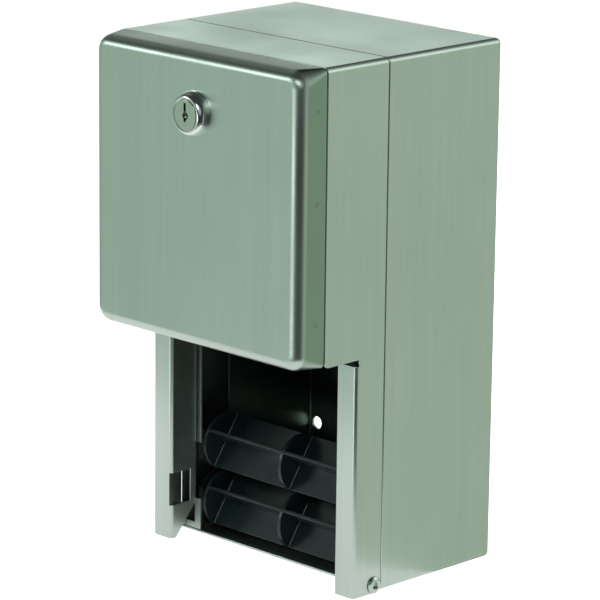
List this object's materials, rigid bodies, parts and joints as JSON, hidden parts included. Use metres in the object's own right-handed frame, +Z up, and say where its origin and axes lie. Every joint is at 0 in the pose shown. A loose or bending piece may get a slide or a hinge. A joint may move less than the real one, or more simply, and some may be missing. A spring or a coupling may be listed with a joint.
{
  "type": "multi-roll toilet paper dispenser",
  "caption": "Wall-mounted satin steel toilet paper cabinet with a tilting, lockable front cover, an open lower front with posts, and stacked spindles that drop in vertical guides.",
  "frame": {"origin": "middle of the flat back face, which is the centre of the wall fixing pattern", "axes": "+Z up, +Y out of the back face towards the wall, +X to the right seen from the front"},
  "size_m": [0.1552, 0.1545, 0.282],
  "materials": {
    "satin_steel": "satin, vertical grain",
    "panel_steel": "satin, vertical grain",
    "housing_steel": "bright rolled sheet",
    "rivet_steel": "bright",
    "spacer_nylon": "natural nylon",
    "lock_chrome": "polished chrome plate",
    "plug_chrome": "polished chrome plate",
    "lock_nickel": "nickel plated brass",
    "zinc_steel": "zinc plated",
    "black_abs": "moulded, semi-gloss",
    "black_acetal": "moulded, matt"
  },
  "bodies": {
    "cabinet": {"rear_cabinet": "satin_steel", "inner_housing": "housing_steel", "guide_rail_left": "housing_steel", "guide_rail_right": "housing_steel", "pivot_bracket_left": "housing_steel", "pivot_bracket_right": "housing_steel", "lock_strike": "housing_steel", "pivot_rivet_left": "rivet_steel", "pivot_rivet_right": "rivet_steel", "pivot_washer_left": "rivet_steel", "pivot_washer_right": "rivet_steel", "pivot_spacer_left": "spacer_nylon", "pivot_spacer_right": "spacer_nylon"},
    "cover": {"front_cover": "satin_steel", "door_panel": "panel_steel", "lock_trim_ring": "lock_chrome", "lock_barrel": "lock_nickel", "lock_washer": "zinc_steel", "lock_nut": "zinc_steel"},
    "lock_cylinder": {"lock_plug": "plug_chrome", "lock_cam": "zinc_steel", "cam_screw": "zinc_steel"},
    "lower_shoes": {"lower_shoe_left": "black_acetal", "lower_shoe_right": "black_acetal"},
    "lower_roller": {"lower_spindle": "black_abs"},
    "upper_shoes": {"upper_shoe_left": "black_acetal", "upper_shoe_right": "black_acetal"},
    "upper_roller": {"upper_spindle": "black_abs"}
  },
  "joints": [
    {"name": "cover_tilt", "type": "hinge", "parent": "cabinet", "child": "cover", "pos_m": [0, -0.0901, -0.1364], "axis": [1, 0, 0], "range_deg": [0, 90]},
    {"name": "lock_turn", "type": "hinge", "parent": "cover", "child": "lock_cylinder", "pos_m": [0, -0.148, 0.1095], "axis": [0, -1, 0], "range_deg": [0, 90]},
    {"name": "lower_drop", "type": "slide", "parent": "cabinet", "child": "lower_shoes", "axis": [0, 0, 1], "range_m": [0, 0.051]},
    {"name": "lower_spin", "type": "hinge", "parent": "lower_shoes", "child": "lower_roller", "pos_m": [0, -0.0687, -0.1238], "axis": [1, 0, 0], "continuous": true},
    {"name": "upper_drop", "type": "slide", "parent": "lower_shoes", "child": "upper_shoes", "axis": [0, 0, 1], "range_m": [0, 0.101]},
    {"name": "upper_spin", "type": "hinge", "parent": "upper_shoes", "child": "upper_roller", "pos_m": [0, -0.0687, -0.0914], "axis": [1, 0, 0], "continuous": true}
  ]
}
